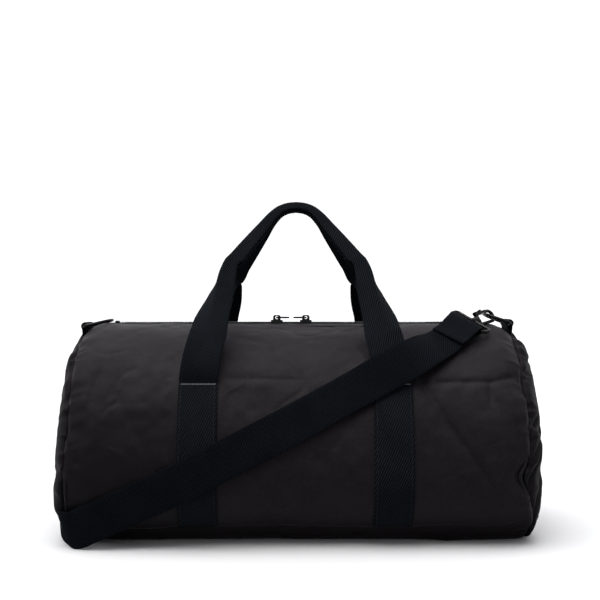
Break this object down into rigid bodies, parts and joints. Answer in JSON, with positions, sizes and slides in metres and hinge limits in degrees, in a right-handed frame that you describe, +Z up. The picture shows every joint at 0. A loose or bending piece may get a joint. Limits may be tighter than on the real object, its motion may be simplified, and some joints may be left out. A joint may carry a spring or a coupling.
{
  "type": "duffel bag",
  "caption": "Soft barrel duffel bag with a full-length top zipper, two webbing carrying handles and a detachable shoulder strap on swivel hooks.",
  "frame": {"origin": "middle of the flat base, on the ground", "axes": "+X along the bag towards its right end, -Y towards the front face the shoulder strap crosses, +Z up"},
  "size_m": [0.5196, 0.317, 0.3621],
  "materials": {
    "body_fabric": "matte fine twill, dark charcoal",
    "webbing": "matte heavy herringbone webbing, blue black",
    "strap_webbing": "matte ribbed webbing, blue black",
    "lining": "smooth plain-weave lining",
    "binding": "matte bias tape",
    "zipper_tape": "matte woven tape",
    "zipper_coil": "satin nylon coil",
    "zipper_metal": "polished black nickel",
    "hardware_metal": "polished black nickel",
    "thread": "light grey thread"
  },
  "bodies": {
    "bag": {"back_panel": "body_fabric", "body_lining": "lining", "bottom_panel": "body_fabric", "d_ring_tab_left": "webbing", "d_ring_tab_right": "webbing", "end_lining_left": "lining", "end_lining_right": "lining", "end_panel_left": "body_fabric", "end_panel_right": "body_fabric", "front_panel": "body_fabric", "handle_anchor_back_left": "webbing", "handle_anchor_back_right": "webbing", "handle_anchor_front_left": "webbing", "handle_anchor_front_right": "webbing", "handle_cross_stitches": "thread", "hook_a_eye": "hardware_metal", "seam_binding_left": "binding", "seam_binding_right": "binding", "shoulder_strap": "strap_webbing", "strap_adjuster": "hardware_metal", "strap_end_loop": "webbing", "zipper_coil_back": "zipper_coil", "zipper_coil_front": "zipper_coil", "zipper_end_left": "body_fabric", "zipper_end_right": "body_fabric", "zipper_stop_left": "zipper_metal", "zipper_stop_right": "zipper_metal", "zipper_tape_back": "zipper_tape", "zipper_tape_front": "zipper_tape"},
    "slider_left": {"slider_left": "zipper_metal"},
    "slider_right": {"slider_right": "zipper_metal"},
    "pull_left": {"pull_left": "zipper_metal"},
    "pull_right": {"pull_right": "zipper_metal"},
    "ring_left": {"d_ring_left": "hardware_metal"},
    "ring_right": {"d_ring_right": "hardware_metal"},
    "handle_front": {"handle_loop_front": "webbing"},
    "handle_back": {"handle_loop_back": "webbing"},
    "hook_a": {"hook_a_body": "hardware_metal", "hook_a_pin": "hardware_metal"},
    "gate_a": {"hook_a_gate": "hardware_metal"},
    "eye_b": {"hook_b_eye": "hardware_metal"},
    "hook_b": {"hook_b_body": "hardware_metal", "hook_b_pin": "hardware_metal"},
    "gate_b": {"hook_b_gate": "hardware_metal"}
  },
  "joints": [
    {"name": "zipper_left_slide", "type": "slide", "parent": "bag", "child": "slider_left", "axis": [1, 0, 0], "range_m": [-0.169, 0]},
    {"name": "zipper_right_slide", "type": "slide", "parent": "bag", "child": "slider_right", "axis": [1, 0, 0], "range_m": [0, 0.18]},
    {"name": "pull_left_hinge", "type": "hinge", "parent": "slider_left", "child": "pull_left", "pos_m": [-0.0215, 0, 0.2334], "axis": [0, -1, 0], "range_deg": [0, 180]},
    {"name": "pull_right_hinge", "type": "hinge", "parent": "slider_right", "child": "pull_right", "pos_m": [0.011, 0, 0.2334], "axis": [0, 1, 0], "range_deg": [0, 180]},
    {"name": "ring_left_hinge", "type": "hinge", "parent": "bag", "child": "ring_left", "pos_m": [-0.2335, 0, 0.224], "axis": [0, -1, 0], "range_deg": [0, 198]},
    {"name": "ring_right_hinge", "type": "hinge", "parent": "bag", "child": "ring_right", "pos_m": [0.2366, 0, 0.2274], "axis": [0, 1, 0], "range_deg": [-1, 1]},
    {"name": "handle_front_fold", "type": "hinge", "parent": "bag", "child": "handle_front", "pos_m": [0, -0.086, 0.222], "axis": [1, 0, 0], "range_deg": [0, 118]},
    {"name": "handle_back_fold", "type": "hinge", "parent": "bag", "child": "handle_back", "pos_m": [0, 0.086, 0.222], "axis": [-1, 0, 0], "range_deg": [0, 118]},
    {"name": "hook_a_swivel", "type": "hinge", "parent": "bag", "child": "hook_a", "pos_m": [0.184, -0.0463, 0.2283], "axis": [0.6846, 0.711, 0.1607], "range_deg": [-4, 4]},
    {"name": "gate_a_hinge", "type": "hinge", "parent": "hook_a", "child": "gate_a", "pos_m": [0.19822, -0.02695, 0.23769], "axis": [-0.5659, 0.6573, -0.4976], "range_deg": [0, 28], "stiffness_Nm_per_rad": 0.01},
    {"name": "eye_b_hinge", "type": "hinge", "parent": "bag", "child": "eye_b", "pos_m": [0.165, 0.16, 0.0054], "axis": [0, -1, 0], "range_deg": [0, 90]},
    {"name": "hook_b_swivel", "type": "hinge", "parent": "eye_b", "child": "hook_b", "pos_m": [0.165, 0.16, 0.0054], "axis": [0.9991, 0, -0.0419], "continuous": true},
    {"name": "gate_b_hinge", "type": "hinge", "parent": "hook_b", "child": "gate_b", "pos_m": [0.18998, 0.1537, 0.00435], "axis": [0.0419, 0, 0.9991], "range_deg": [0, 28], "stiffness_Nm_per_rad": 0.01}
  ]
}
